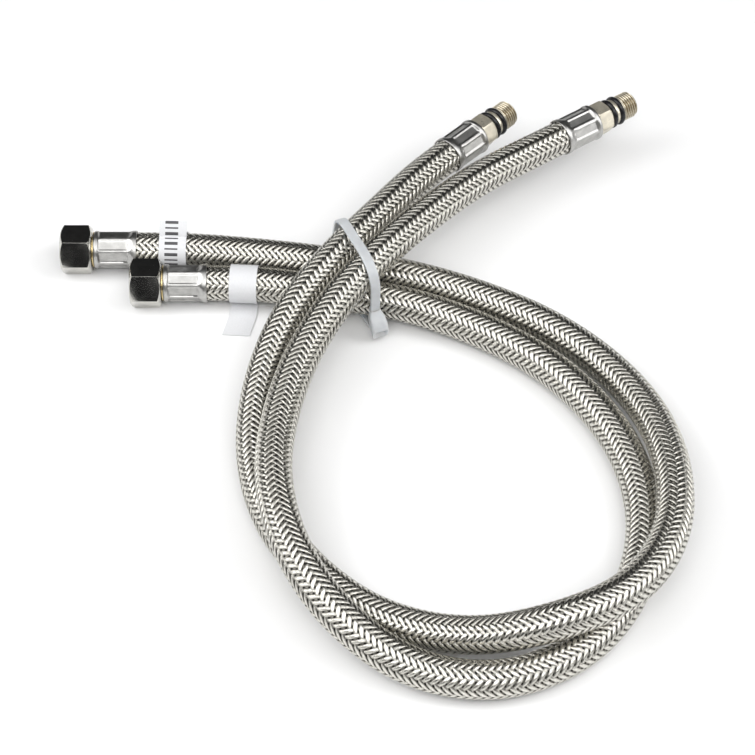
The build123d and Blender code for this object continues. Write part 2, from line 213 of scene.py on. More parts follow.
class FinishSettings(bpy.types.PropertyGroup):
    """Base colours of the finishes."""
    wire: color_setting("Wire", "Bright stainless wire", (0.82, 0.80, 0.735))
    sleeve: color_setting("Sleeve", "Pressed stainless sleeve", (0.50, 0.495, 0.48))
    nickel: color_setting("Nickel", "Bright nickel plate of the swivel nuts", (0.66, 0.65, 0.61))
    pale_nickel: color_setting("Pale nickel", "Nickel plate with brass showing through", (0.72, 0.67, 0.55))
    brass: color_setting("Brass", "Bare turned brass", (0.80, 0.64, 0.34))
    rubber: color_setting("Rubber", "Black rubber", (0.008, 0.008, 0.009))
    nylon: color_setting("Nylon", "Natural nylon", (0.54, 0.555, 0.57))
    paper: color_setting("Paper", "White paper", (0.70, 0.705, 0.72))


# ---------------------------------------------------------------- shader helpers

def link(tree, a, b):
    tree.links.new(a, b)


def feed(tree, node, key, value):
    """Set an input, or link it where the value is a socket."""
    if isinstance(value, bpy.types.NodeSocket):
        tree.links.new(value, node.inputs[key])
    else:
        node.inputs[key].default_value = value


def calc(tree, operation, *values):
    """A Math node on sockets or numbers."""
    node = tree.nodes.new("ShaderNodeMath")
    node.operation = operation
    for index, value in enumerate(values):
        feed(tree, node, index, value)
    return node.outputs[0]


def vector_calc(tree, operation, *values):
    """A Vector Math node on sockets or vectors."""
    node = tree.nodes.new("ShaderNodeVectorMath")
    node.operation = operation
    for index, value in enumerate(values):
        if operation == "SCALE" and index == 1:
            feed(tree, node, "Scale", value)
        else:
            feed(tree, node, index, value)
    return node.outputs[0]


def new_material(name, color, roughness, metallic=0.0):
    material = bpy.data.materials.new(name)
    material.use_nodes = True
    shader = material.node_tree.nodes["Principled BSDF"]
    shader.inputs["Base Color"].default_value = (*color, 1)
    shader.inputs["Roughness"].default_value = roughness
    shader.inputs["Metallic"].default_value = metallic
    return material, material.node_tree, shader


def noise(tree, vector, scale, detail=3.0, rough=0.5):
    node = tree.nodes.new("ShaderNodeTexNoise")
    feed(tree, node, "Vector", vector)
    node.inputs["Scale"].default_value = scale
    node.inputs["Detail"].default_value = detail
    node.inputs["Roughness"].default_value = rough
    return node.outputs["Fac"]


def spread(tree, value, low, high, to_low, to_high):
    node = tree.nodes.new("ShaderNodeMapRange")
    feed(tree, node, "Value", value)
    for key, number in zip(("From Min", "From Max", "To Min", "To Max"), (low, high, to_low, to_high)):
        node.inputs[key].default_value = number
    return node.outputs["Result"]


def bump(tree, height, strength, distance):
    node = tree.nodes.new("ShaderNodeBump")
    feed(tree, node, "Height", height)
    node.inputs["Strength"].default_value = strength
    node.inputs["Distance"].default_value = distance
    return node.outputs["Normal"]


def tint(tree, factor, dark, light):
    node = tree.nodes.new("ShaderNodeMix")
    node.data_type = "RGBA"
    feed(tree, node, "Factor", factor)
    node.inputs[6].default_value = (*dark, 1)
    node.inputs[7].default_value = (*light, 1)
    return node.outputs[2]


def object_place(tree):
    """Object coordinates, which a material's patterns follow."""
    return tree.nodes.new("ShaderNodeTexCoord").outputs["Object"]


def attribute(tree, name):
    """A number that a piece's mesh carries."""
    node = tree.nodes.new("ShaderNodeAttribute")
    node.attribute_name = name
    return node.outputs["Fac"]


def cover(tree, factor, under, over):
    """A fixed colour laid over a changing one, by a factor."""
    node = tree.nodes.new("ShaderNodeMix")
    node.data_type = "RGBA"
    tree.links.new(factor, node.inputs["Factor"])
    tree.links.new(under, node.inputs[6])
    node.inputs[7].default_value = (*over, 1)
    return node.outputs[2]


def handling_group():
    """Fine scratches and smears that every metal finish shares: out come a roughness and a height."""
    group = bpy.data.node_groups.new("Handling marks", "ShaderNodeTree")
    interface = group.interface
    interface.new_socket(name="Vector", in_out="INPUT", socket_type="NodeSocketVector")
    for name in ("Grain", "Smooth", "Rough"):
        interface.new_socket(name=name, in_out="INPUT", socket_type="NodeSocketFloat")
    for name in ("Roughness", "Height"):
        interface.new_socket(name=name, in_out="OUTPUT", socket_type="NodeSocketFloat")
    source = group.nodes.new("NodeGroupInput")
    result = group.nodes.new("NodeGroupOutput")
    smear = noise(group, source.outputs["Vector"], 260.0, 4.0, 0.6)
    stretched = vector_calc(group, "MULTIPLY", source.outputs["Vector"], (1.0, 7.0, 1.0))
    grain = group.nodes.new("ShaderNodeTexNoise")
    group.links.new(stretched, grain.inputs["Vector"])
    group.links.new(source.outputs["Grain"], grain.inputs["Scale"])
    grain.inputs["Detail"].default_value = 4.0
    fine = calc(group, "MULTIPLY", grain.outputs["Fac"], 0.4)
    both = calc(group, "ADD", calc(group, "MULTIPLY", smear, 0.6), fine)
    span = group.nodes.new("ShaderNodeMapRange")
    group.links.new(both, span.inputs["Value"])
    span.inputs["From Min"].default_value = 0.3
    span.inputs["From Max"].default_value = 0.7
    group.links.new(source.outputs["Smooth"], span.inputs["To Min"])
    group.links.new(source.outputs["Rough"], span.inputs["To Max"])
    group.links.new(span.outputs["Result"], result.inputs["Roughness"])
    group.links.new(grain.outputs["Fac"], result.inputs["Height"])
    return group


def marked_metal(name, color, smooth, rough, grain, depth, recess_shade=None, metallic=1.0):
    """A bright metal with handling marks, and painted shade in its recesses where it has any."""
    material, tree, shader = new_material(name, color, smooth, metallic)
    place = object_place(tree)
    marks = tree.nodes.new("ShaderNodeGroup")
    marks.node_tree = bpy.data.node_groups.get("Handling marks") or handling_group()
    tree.links.new(place, marks.inputs["Vector"])
    marks.inputs["Grain"].default_value = grain
    marks.inputs["Smooth"].default_value = smooth
    marks.inputs["Rough"].default_value = rough
    tree.links.new(marks.outputs["Roughness"], shader.inputs["Roughness"])
    tone = noise(tree, place, 420.0, 3.0, 0.55)
    darker = tuple(c * 0.82 for c in color)
    shown = tint(tree, spread(tree, tone, 0.35, 0.65, 0.0, 1.0), darker, color)
    # Painted shade in the recesses, such as the tail thread's grooves.
    if recess_shade:
        low = spread(tree, attribute(tree, "recess_shade"), 0.1, 0.5, 0.0, 0.95)
        shown = cover(tree, low, shown, recess_shade)
    tree.links.new(shown, shader.inputs["Base Color"])
    tree.links.new(bump(tree, marks.outputs["Height"], 0.25, depth), shader.inputs["Normal"])
    return material


def wire_material(colors, hose):
    """Woven wire: fine wires side by side in each strand, with painted shade at strand edges, dips and wire
    creases.
    """
    material, tree, shader = new_material("Braid wire", colors.wire, 0.2, 1.0)
    across = attribute(tree, "across")
    rise = attribute(tree, "rise")
    phase = calc(tree, "MULTIPLY", across, math.pi * hose.wires / 2)
    ridges = calc(tree, "ABSOLUTE", calc(tree, "COSINE", phase))
    place = object_place(tree)
    rub = noise(tree, place, 900.0, 3.0, 0.6)
    height = calc(tree, "ADD", ridges, calc(tree, "MULTIPLY", rub, 0.3))
    tree.links.new(bump(tree, height, 0.55, 0.00006), shader.inputs["Normal"])
    # Painted shade: darker at strand edges, where a strand dips under another and in the creases between
    # wires; the rub noise adds random tone.
    edge = calc(tree, "POWER", calc(tree, "ABSOLUTE", across), 4.0)
    crease_shade = calc(tree, "SUBTRACT", 1.0, ridges)
    depth = spread(tree, rise, -1.0, 0.6, 1.0, 0.0)
    shade = calc(tree, "ADD", calc(tree, "MULTIPLY", edge, 0.75), calc(tree, "MULTIPLY", depth, 0.55))
    shade = calc(tree, "ADD", shade, calc(tree, "MULTIPLY", crease_shade, 0.38))
    shade = calc(tree, "ADD", shade, spread(tree, rub, 0.3, 0.7, -0.1, 0.12))
    clamp = tree.nodes.new("ShaderNodeClamp")
    tree.links.new(shade, clamp.inputs["Value"])
    # Colour of the painted shade.
    low = (0.055, 0.05, 0.036)
    tree.links.new(tint(tree, clamp.outputs["Result"], colors.wire, low), shader.inputs["Base Color"])
    tree.links.new(spread(tree, clamp.outputs["Result"], 0.0, 1.0, 0.17, 0.42), shader.inputs["Roughness"])
    return material


def rubber_material(colors, name, smooth, rough):
    material, tree, shader = new_material(name, colors.rubber, smooth)
    place = object_place(tree)
    grain = noise(tree, place, 1500.0, 4.0, 0.6)
    tree.links.new(spread(tree, grain, 0.3, 0.7, smooth, rough), shader.inputs["Roughness"])
    lighter = tuple(c * 1.9 + 0.004 for c in colors.rubber)
    cloud = spread(tree, noise(tree, place, 500.0), 0.35, 0.65, 0.0, 1.0)
    tree.links.new(tint(tree, cloud, tuple(colors.rubber), lighter), shader.inputs["Base Color"])
    tree.links.new(bump(tree, grain, 0.2, 0.00003), shader.inputs["Normal"])
    shader.inputs["Specular IOR Level"].default_value = 0.3
    return material


def nylon_material(colors):
    material, tree, shader = new_material("Natural nylon", colors.nylon, 0.34)
    place = object_place(tree)
    cloud = noise(tree, place, 300.0, 3.0, 0.5)
    dull = tuple(c * 0.93 for c in colors.nylon)
    shown = tint(tree, spread(tree, cloud, 0.35, 0.65, 0.0, 1.0), dull, tuple(colors.nylon))
    tree.links.new(shown, shader.inputs["Base Color"])
    tree.links.new(spread(tree, cloud, 0.3, 0.7, 0.28, 0.44), shader.inputs["Roughness"])
    shader.inputs["Subsurface Weight"].default_value = 0.6
    shader.inputs["Subsurface Radius"].default_value = (0.9, 1.0, 1.1)
    shader.inputs["Subsurface Scale"].default_value = 0.0015
    tree.links.new(bump(tree, noise(tree, place, 2200.0), 0.12, 0.00004), shader.inputs["Normal"])
    return material


def paper_material(colors, name, printed):
    """White paper with faint fibres; a printed tag has a row of plain bars down its middle."""
    material, tree, shader = new_material(name, colors.paper, 0.5)
    place = object_place(tree)
    fibres = noise(tree, place, 1800.0, 5.0, 0.7)
    warm = tuple(c * 0.94 for c in colors.paper)
    color = tint(tree, spread(tree, fibres, 0.35, 0.65, 0.0, 1.0), warm, tuple(colors.paper))
    if printed:
        reach = attribute(tree, "reach")
        side = attribute(tree, "side")
        slow = calc(tree, "SINE", calc(tree, "MULTIPLY", reach, 3.1))
        fast = calc(tree, "SINE", calc(tree, "ADD", calc(tree, "MULTIPLY", reach, 7.7), 1.0))
        bars = spread(tree, calc(tree, "ADD", slow, calc(tree, "MULTIPLY", fast, 0.8)), 0.1, 0.22, 0.0, 1.0)
        left = spread(tree, side, -0.58, -0.56, 0.0, 1.0)
        right = spread(tree, side, 0.38, 0.4, 1.0, 0.0)
        ink = calc(tree, "MULTIPLY", bars, calc(tree, "MULTIPLY", left, right))
        color = cover(tree, calc(tree, "MULTIPLY", ink, 0.95), color, (0.015, 0.015, 0.018))
    tree.links.new(color, shader.inputs["Base Color"])
    tree.links.new(spread(tree, fibres, 0.3, 0.7, 0.42, 0.6), shader.inputs["Roughness"])
    tree.links.new(bump(tree, fibres, 0.2, 0.00003), shader.inputs["Normal"])
    return material


def finishes():
    """All the finishes, made once."""
    colors = bpy.context.scene.connector_finish
    hose = bpy.context.scene.connector_hose
    if "Braid wire" not in bpy.data.materials:
        wire_material(colors, hose)
        marked_metal("Pressed sleeve", tuple(colors.sleeve), 0.27, 0.42, 900.0, 0.00004)
        marked_metal("Nickel plate", tuple(colors.nickel), 0.08, 0.2, 1300.0, 0.00002)
        # The tail plate has painted shade in its thread grooves.
        marked_metal(
            "Tail plate", tuple(colors.pale_nickel), 0.24, 0.4, 1300.0, 0.00003,
            recess_shade=(0.16, 0.11, 0.04), metallic=0.72)
        marked_metal("Bare brass", tuple(colors.brass), 0.16, 0.3, 1500.0, 0.00003)
        rubber_material(colors, "Seal rubber", 0.14, 0.24)
        rubber_material(colors, "Tube rubber", 0.5, 0.7)
        nylon_material(colors)
        paper_material(colors, "Tag paper", False)
        paper_material(colors, "Printed tag", True)
    return bpy.data.materials


# ---------------------------------------------------------------- shape helpers

def new_object(name, mesh, material=None):
    piece = bpy.data.objects.new(name, mesh)
    bpy.context.scene.collection.objects.link(piece)
    if material:
        mesh.materials.clear()
        mesh.materials.append(material)
    return piece


def hose_curve(name, route, bevel=0.0):
    """The hose's line as a smooth NURBS curve."""
    curve = bpy.data.curves.new(name, "CURVE")
    curve.dimensions = "3D"
    curve.resolution_u = 24
    curve.bevel_depth = bevel
    curve.bevel_resolution = 8
    curve.use_fill_caps = True
    spline = curve.splines.new("NURBS")
    spline.points.add(len(route) - 1)
    for point, place in zip(spline.points, route):
        point.co = (*[c * MM for c in place], 1)
    spline.order_u = 3
    spline.use_endpoint_u = True
    spline.resolution_u = 24
    spline.use_smooth = True
    return curve


def line_mesh(name):
    """The points that the hose's NURBS curve passes through, as a mesh of edges."""
    curve = hose_curve(name + " line", ROUTES[name])
    holder = bpy.data.objects.new(name + " line", curve)
    bpy.context.scene.collection.objects.link(holder)
    mesh = bpy.data.meshes.new_from_object(holder.evaluated_get(bpy.context.evaluated_depsgraph_get()))
    bpy.data.objects.remove(holder)
    return mesh


def outward_frame(mouth, inner):
    """Matrix whose Z points out of the hose at a sleeve's mouth, and whose X is level."""
    mouth = Vector(mouth) * MM
    out = (mouth - Vector(inner) * MM).normalized()
    side = Vector((-out.y, out.x, 0)).normalized()
    up = out.cross(side)
    matrix = Matrix((side, up, out)).transposed().to_4x4()
    matrix.translation = mouth
    return matrix


def clean(mesh, distance=0.000001):
    bm = bmesh.new()
    bm.from_mesh(mesh)
    bmesh.ops.remove_doubles(bm, verts=bm.verts, dist=distance)
    edges = [edge for edge in bm.edges if edge.is_boundary]
    if edges:
        bmesh.ops.holes_fill(bm, edges=edges, sides=0)
    bmesh.ops.recalc_face_normals(bm, faces=bm.faces)
    bm.to_mesh(mesh)
    bm.free()


def shade(mesh, degrees=35.0):
    for face in mesh.polygons:
        face.use_smooth = True
    mesh.set_sharp_from_angle(angle=math.radians(degrees))


def turned_mesh(name, outline, place, segments=96, shape=None):
    """Closed ring turned about the Z of a place from (radius, height) points in millimetres.

    shape(radius, height, angle) may bend the radius as it goes round.
    """
    bm = bmesh.new()
    # This layer masks painted shade in the tail thread's grooves, by how deep each groove is cut.
    recess_shade = bm.verts.layers.float.new("recess_shade")
    rings = []
    for step in range(segments):
        angle = 2 * math.pi * step / segments
        ring = []
        for radius, height in outline:
            reach = shape(radius, height, angle) if shape else radius
            point = Vector((reach * MM * math.cos(angle), reach * MM * math.sin(angle), height * MM))
            vert = bm.verts.new(place @ point)
            vert[recess_shade] = (radius - reach) if shape is hexagonal and height > TAIL_THREAD[0] else 0.0
            ring.append(vert)
        rings.append(ring)
    count = len(outline)
    for step in range(segments):
        here, there = rings[step], rings[(step + 1) % segments]
        for index in range(count):
            after = (index + 1) % count
            bm.faces.new((here[index], there[index], there[after], here[after]))
    mesh = bpy.data.meshes.new(name)
    bm.to_mesh(mesh)
    bm.free()
    clean(mesh)
    return mesh


def smooth(low, high, value):
    """Smooth step from 0 to 1."""
    share = min(max((value - low) / (high - low), 0.0), 1.0)
    return share * share * (3 - 2 * share)


def facet(angle, count):
    """Angle from the middle of the facet it falls on, from -1 to 1 at the corners."""
    return ((angle * count / (2 * math.pi)) % 1.0) * 2 - 1


def pressed(radius, height, angle):
    """Panels pressed between narrow ribs into a sleeve's barrel."""
    if radius < SLEEVE_INSIDE:
        return radius
    local = abs(facet(angle + SLEEVE_TURN, SLEEVE_PANELS))
    start = smooth(1.3 + 1.5 * local ** 3, 3.6 + 0.9 * local ** 3, height)
    finish = 1 - smooth(13.3 - 0.7 * local ** 3, 14.0 - 0.3 * local ** 3, height)
    depth = start * finish
    half = math.pi / SLEEVE_PANELS
    panel = SLEEVE_FLAT / math.cos(local * half)
    rib = 0.4 * smooth(0.68, 0.8, local) * smooth(3.0, 4.2, height)
    return radius + (min(panel + rib, SLEEVE_RIB) - radius) * depth


def hexagonal(radius, height, angle):
    """A tail's hexagon, and plain turned shapes everywhere else."""
    if radius > TAIL_FLAT and TAIL_HEX[0] - 0.01 < height < TAIL_HEX[1] + 0.01:
        half = math.pi / 6
        return min(radius, TAIL_FLAT / math.cos(facet(angle, 6) * half))
    if height > TAIL_THREAD[0] and radius > TAIL_FLAT - 1.2:
        sizes = bpy.context.scene.connector_fitting
        phase = (height * MM / sizes.tail_pitch - angle / (2 * math.pi)) % 1.0
        groove = min(1.0, 1.25 * (1 - abs(2 * phase - 1)))
        cut = smooth(TAIL_THREAD[0], TAIL_THREAD[0] + THREAD_RUN_IN, height)
        return radius - sizes.tail_thread_depth / MM * groove * cut
    return radius


def threaded(radius, height, angle):
    """The nut's thread, cut into a thin liner."""
    sizes = bpy.context.scene.connector_fitting
    if radius >= NUT_LINER_RADIUS:
        return radius
    phase = (height * MM / sizes.nut_pitch - angle / (2 * math.pi)) % 1.0
    start, end = NUT_THREAD
    ends = smooth(start, start + THREAD_RUN_IN, height) * (1 - smooth(end - THREAD_RUN_OUT, end, height))
    return radius - NUT_THREAD_DEPTH * (1 - abs(2 * phase - 1)) * ends


def loft(bm, rings):
    """Skin rings of points, which all have the same count, and close both ends."""
    made = [[bm.verts.new(point) for point in ring] for ring in rings]
    count = len(made[0])
    for here, there in zip(made, made[1:]):
        for index in range(count):
            after = (index + 1) % count
            bm.faces.new((here[index], here[after], there[after], there[index]))
    bm.faces.new(made[0][::-1])
    bm.faces.new(made[-1])


def rounded_section(centre, side, out, width, depth, count=28, square=0.42):
    """Points of a rounded oblong about a centre."""
    points = []
    for step in range(count):
        angle = 2 * math.pi * (step + 0.5) / count
        c, s = math.cos(angle), math.sin(angle)
        across = math.copysign(abs(c) ** square, c) * width / 2
        away = math.copysign(abs(s) ** square, s) * depth / 2
        points.append(centre + side * across + out * away)
    return points


def tag_strip(name, place, path, skew, width, thickness):
    """Paper strip on a path in the plane square to the hose; skew slides its start along the hose."""
    bm = bmesh.new()
    reach = bm.verts.layers.float.new("reach")
    side = bm.verts.layers.float.new("side")
    rows = []
    done = 0.0
    for index, point in enumerate(path):
        before, after = path[max(index - 1, 0)], path[min(index + 1, len(path) - 1)]
        ahead = (Vector(after) - Vector(before)).normalized()
        normal = Vector((-ahead.y, ahead.x))
        if index:
            done += (Vector(point) - Vector(path[index - 1])).length
        slide = skew * max(0.0, 1.0 - done / 9.0)
        row = []
        for out, across in ((-1, -1), (1, -1), (1, 1), (-1, 1)):
            spot = Vector(point) + normal * out * thickness / MM / 2
            along = across * width * MM / 2 + slide * MM
            vert = bm.verts.new(place @ Vector((spot.x * MM, spot.y * MM, along)))
            vert[reach] = done
            vert[side] = across
            row.append(vert)
        rows.append(row)
    for here, there in zip(rows, rows[1:]):
        for index in range(4):
            after = (index + 1) % 4
            bm.faces.new((here[index], here[after], there[after], there[index]))
    bm.faces.new(rows[0][::-1])
    bm.faces.new(rows[-1])
    bmesh.ops.recalc_face_normals(bm, faces=bm.faces)
    mesh = bpy.data.meshes.new(name)
    bm.to_mesh(mesh)
    bm.free()
    shade(mesh, 50.0)
    return new_object(name, mesh)


def tie_path(slack):
    """Closed path of the tie's band, in its own plane, drawn tight round every hose that it holds."""
    heading = math.radians(TIE_HEADING)
    along = Vector((math.cos(heading), math.sin(heading), 0))
    across = Vector((math.sin(heading), -math.cos(heading), 0))
    origin = Vector((*TIE_FRONT, 0)) * MM
    trim = bpy.context.scene.connector_trim
    reach = bpy.context.scene.connector_hose.diameter / 2 + slack + trim.tie_thickness / 2
    points = []
    for name in ROUTES:
        line = [vert.co.copy() for vert in line_mesh(name).vertices]
        for before, here, after in zip(line, line[1:], line[2:]):
            if abs((here - origin).dot(across)) > 0.012:
                continue
            if not TIE_SPAN[0] < (here - origin).dot(along) < TIE_SPAN[1]:
                continue
            ahead = (after - before).normalized()
            level = Vector((-ahead.y, ahead.x, 0)).normalized()
            up = ahead.cross(level)
            for step in range(72):
                turn = 2 * math.pi * step / 72
                spot = here + (level * math.cos(turn) + up * math.sin(turn)) * reach
                if abs((spot - origin).dot(across)) < trim.tie_width / 2 + 0.0003:
                    points.append(Vector(((spot - origin).dot(along), max(spot.z, TIE_LOWEST))))
    for height in TIE_FOOT_HEIGHTS:
        points.append(Vector((TIE_FOOT_REACH, height)))
    hull = [points[index] for index in geometry.convex_hull_2d(points)]
    lengths = [(hull[(index + 1) % len(hull)] - point).length for index, point in enumerate(hull)]
    total, count = sum(lengths), TIE_PATH_POINTS
    path = []
    index = 0
    walked = 0.0
    for step in range(count):
        target = total * step / count
        while walked + lengths[index] < target:
            walked += lengths[index]
            index += 1
        share = (target - walked) / lengths[index]
        path.append(hull[index].lerp(hull[(index + 1) % len(hull)], share))
    for _ in range(4):
        path = [(path[i - 1] + path[i] * 2 + path[(i + 1) % count]) / 4 for i in range(count)]
    return path, origin, along, across


def head_place(reach, origin, along):
    """Centre, downward and outward direction of the tie's head, a distance in millimetres from its top."""
    up = Vector((0, 0, 1))
    start, middle, end = TIE_HEAD_SPINE
    share = reach / TIE_HEAD_LENGTH
    spot = [
        ((1 - share) ** 2 * a + 2 * share * (1 - share) * b + share ** 2 * c) * MM
        for a, b, c in zip(start, middle, end)
    ]
    slope = [(1 - share) * (b - a) + share * (c - b) for a, b, c in zip(start, middle, end)]
    run = (along * slope[0] + up * slope[1]).normalized()
    flat = run.dot(along)
    out = along * run.z - up * flat
    return origin + along * spot[0] + up * spot[1], run, out


def softened_copy(node, width, angle=28.0, segments=2):
    """A CAD piece's shape with its sharp edges rounded."""
    source = bpy.data.objects[node]
    mesh = source.data.copy()
    mesh.name = node + " softened"
    bm = bmesh.new()
    bm.from_mesh(mesh)
    bmesh.ops.remove_doubles(bm, verts=bm.verts, dist=0.000002)
    bmesh.ops.dissolve_limit(bm, angle_limit=math.radians(0.4), verts=bm.verts, edges=bm.edges)
    bmesh.ops.recalc_face_normals(bm, faces=bm.faces)
    bm.to_mesh(mesh)
    bm.free()
    for face in mesh.polygons:
        face.use_smooth = True
    piece = new_object(node + "_finished", mesh)
    bevel = piece.modifiers.new("Rounded edges", "BEVEL")
    bevel.width = width
    bevel.segments = segments
    bevel.limit_method = "ANGLE"
    bevel.angle_limit = math.radians(angle)
    bevel.harden_normals = True
    return piece


def settle(piece, material, slot, body, *nodes):
    """Give a finished piece its material and body, and hide the CAD pieces that it stands in for."""
    piece.data.materials.clear()
    piece.data.materials.append(material)
    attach(piece, body)
    if nodes:
        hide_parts(*nodes)


# ---------------------------------------------------------------- woven strands

def strand_tree():
    """Flat strands that wind one way round the hose, passing over two and under two."""
    tree = bpy.data.node_groups.new("Wound strands", "GeometryNodeTree")
    sockets = [
        ("Line", "NodeSocketGeometry"), ("Strands", "NodeSocketInt"), ("Hand", "NodeSocketFloat"),
        ("Lead", "NodeSocketFloat"), ("Middle radius", "NodeSocketFloat"), ("Depth", "NodeSocketFloat"),
        ("Width", "NodeSocketFloat"), ("Thickness", "NodeSocketFloat"), ("Overrun", "NodeSocketFloat"),
        ("Steps", "NodeSocketInt"), ("Sides", "NodeSocketInt"), ("Material", "NodeSocketMaterial"),
    ]
    for name, kind in sockets:
        tree.interface.new_socket(name=name, in_out="INPUT", socket_type=kind)
    tree.interface.new_socket(name="Strands", in_out="OUTPUT", socket_type="NodeSocketGeometry")
    new = tree.nodes.new
    given = new("NodeGroupInput").outputs
    as_curve = new("GeometryNodeMeshToCurve")
    link(tree, given["Line"], as_curve.inputs["Mesh"])
    normals = new("GeometryNodeSetCurveNormal")
    normals.mode = "MINIMUM_TWIST"
    link(tree, as_curve.outputs["Curve"], normals.inputs["Curve"])
    length = new("GeometryNodeCurveLength")
    link(tree, normals.outputs["Curve"], length.inputs["Curve"])
    strip = new("GeometryNodeMeshGrid")
    strip.inputs["Size X"].default_value = 1.0
    strip.inputs["Size Y"].default_value = 1.0
    link(tree, given["Steps"], strip.inputs["Vertices X"])
    link(tree, given["Sides"], strip.inputs["Vertices Y"])
    points = new("GeometryNodeMeshLine")
    points.inputs["Offset"].default_value = (0, 0, 0)
    link(tree, given["Strands"], points.inputs["Count"])
    copies = new("GeometryNodeInstanceOnPoints")
    link(tree, points.outputs["Mesh"], copies.inputs["Points"])
    link(tree, strip.outputs["Mesh"], copies.inputs["Instance"])
    number = new("GeometryNodeStoreNamedAttribute")
    number.data_type = "FLOAT"
    number.domain = "INSTANCE"
    number.inputs["Name"].default_value = "strand"
    link(tree, copies.outputs["Instances"], number.inputs["Geometry"])
    link(tree, new("GeometryNodeInputIndex").outputs["Index"], number.inputs["Value"])
    real = new("GeometryNodeRealizeInstances")
    link(tree, number.outputs["Geometry"], real.inputs["Geometry"])

    place = new("ShaderNodeSeparateXYZ")
    link(tree, new("GeometryNodeInputPosition").outputs["Position"], place.inputs["Vector"])
    total = calc(tree, "ADD", length.outputs["Length"], calc(tree, "MULTIPLY", given["Overrun"], 2.0))
    share = calc(tree, "ADD", place.outputs["X"], 0.5)
    along = calc(tree, "SUBTRACT", calc(tree, "MULTIPLY", share, total), given["Overrun"])
    turn = calc(tree, "MULTIPLY", calc(tree, "ADD", place.outputs["Y"], 0.5), 2 * math.pi)
    across = calc(tree, "COSINE", turn)
    offset = calc(tree, "MULTIPLY", across, calc(tree, "MULTIPLY", given["Width"], 0.5))
    crown = calc(tree, "MULTIPLY", calc(tree, "SINE", turn), calc(tree, "MULTIPLY", given["Thickness"], 0.5))
    girth = calc(tree, "MULTIPLY", given["Middle radius"], 2 * math.pi)
    lay = calc(tree, "ARCTAN2", girth, given["Lead"])
    which = new("GeometryNodeInputNamedAttribute")
    which.data_type = "FLOAT"
    which.inputs["Name"].default_value = "strand"
    start = calc(tree, "MULTIPLY", which.outputs["Attribute"], 2 * math.pi)
    start = calc(tree, "DIVIDE", start, given["Strands"])
    wound = calc(tree, "DIVIDE", calc(tree, "MULTIPLY", along, 2 * math.pi), given["Lead"])
    wound = calc(tree, "MULTIPLY", wound, given["Hand"])
    sideways = calc(tree, "MULTIPLY", offset, calc(tree, "COSINE", lay))
    sideways = calc(tree, "DIVIDE", sideways, given["Middle radius"])
    angle = calc(tree, "ADD", calc(tree, "ADD", start, wound), sideways)
    shift = calc(tree, "MULTIPLY", calc(tree, "MULTIPLY", offset, calc(tree, "SINE", lay)), given["Hand"])
    distance = calc(tree, "SUBTRACT", along, shift)
    beat = calc(tree, "MULTIPLY", angle, calc(tree, "MULTIPLY", given["Strands"], 0.5))
    beat = calc(tree, "SUBTRACT", beat, math.pi / 4)
    wave = calc(tree, "TANH", calc(tree, "MULTIPLY", calc(tree, "COSINE", beat), WEAVE_STEEPNESS))
    wave = calc(tree, "DIVIDE", wave, math.tanh(WEAVE_STEEPNESS))
    rise = calc(tree, "MULTIPLY", wave, given["Hand"])
    radius = calc(tree, "ADD", given["Middle radius"], calc(tree, "MULTIPLY", rise, given["Depth"]))
    radius = calc(tree, "ADD", radius, crown)
    held = calc(tree, "MINIMUM", calc(tree, "MAXIMUM", distance, 0.0), length.outputs["Length"])
    past = calc(tree, "SUBTRACT", distance, held)
    sample = new("GeometryNodeSampleCurve")
    sample.mode = "LENGTH"
    link(tree, normals.outputs["Curve"], sample.inputs["Curves"])
    link(tree, held, sample.inputs["Length"])
    tangent, normal = sample.outputs["Tangent"], sample.outputs["Normal"]
    side = vector_calc(tree, "CROSS_PRODUCT", tangent, normal)
    spoke = vector_calc(tree, "ADD", vector_calc(tree, "SCALE", normal, calc(tree, "COSINE", angle)),
                        vector_calc(tree, "SCALE", side, calc(tree, "SINE", angle)))
    centre = vector_calc(tree, "ADD", sample.outputs["Position"], vector_calc(tree, "SCALE", tangent, past))
    final = vector_calc(tree, "ADD", centre, vector_calc(tree, "SCALE", spoke, radius))

    geometry = real.outputs["Geometry"]
    for name, value in (("across", across), ("rise", rise)):
        keep = new("GeometryNodeStoreNamedAttribute")
        keep.data_type = "FLOAT"
        keep.domain = "POINT"
        keep.inputs["Name"].default_value = name
        link(tree, geometry, keep.inputs["Geometry"])
        link(tree, value, keep.inputs["Value"])
        geometry = keep.outputs["Geometry"]
    placed = new("GeometryNodeSetPosition")
    link(tree, geometry, placed.inputs["Geometry"])
    link(tree, final, placed.inputs["Position"])
    again = new("GeometryNodeRealizeInstances")
    link(tree, placed.outputs["Geometry"], again.inputs["Geometry"])
    coat = new("GeometryNodeSetMaterial")
    link(tree, again.outputs["Geometry"], coat.inputs["Geometry"])
    link(tree, given["Material"], coat.inputs["Material"])
    link(tree, coat.outputs["Geometry"], new("NodeGroupOutput").inputs["Strands"])
    return tree


def wound_strands(name, line, hand, steps):
    """One hand of the braid on one hose, as a plain mesh."""
    hose = bpy.context.scene.connector_hose
    tree = bpy.data.node_groups.get("Wound strands") or strand_tree()
    piece = new_object(name, line.copy())
    modifier = piece.modifiers.new("Strands", "NODES")
    modifier.node_group = tree
    middle = hose.diameter / 2 - hose.weave_depth - hose.strand_thickness / 2
    values = {
        "Strands": hose.strands, "Hand": hand, "Lead": hose.lead, "Middle radius": middle,
        "Depth": hose.weave_depth, "Width": hose.strand_width, "Thickness": hose.strand_thickness,
        "Overrun": hose.overrun, "Steps": steps, "Sides": 8, "Material": finishes()["Braid wire"],
    }
    for item in tree.interface.items_tree:
        if item.in_out == "INPUT" and item.name in values:
            modifier[item.identifier] = values[item.name]
    mesh = bpy.data.meshes.new_from_object(piece.evaluated_get(bpy.context.evaluated_depsgraph_get()))
    bpy.data.objects.remove(piece)
    mesh.name = name
    clean(mesh)
    for face in mesh.polygons:
        face.use_smooth = True
    mesh.materials.clear()
    return new_object(name, mesh)


# ---------------------------------------------------------------- operators

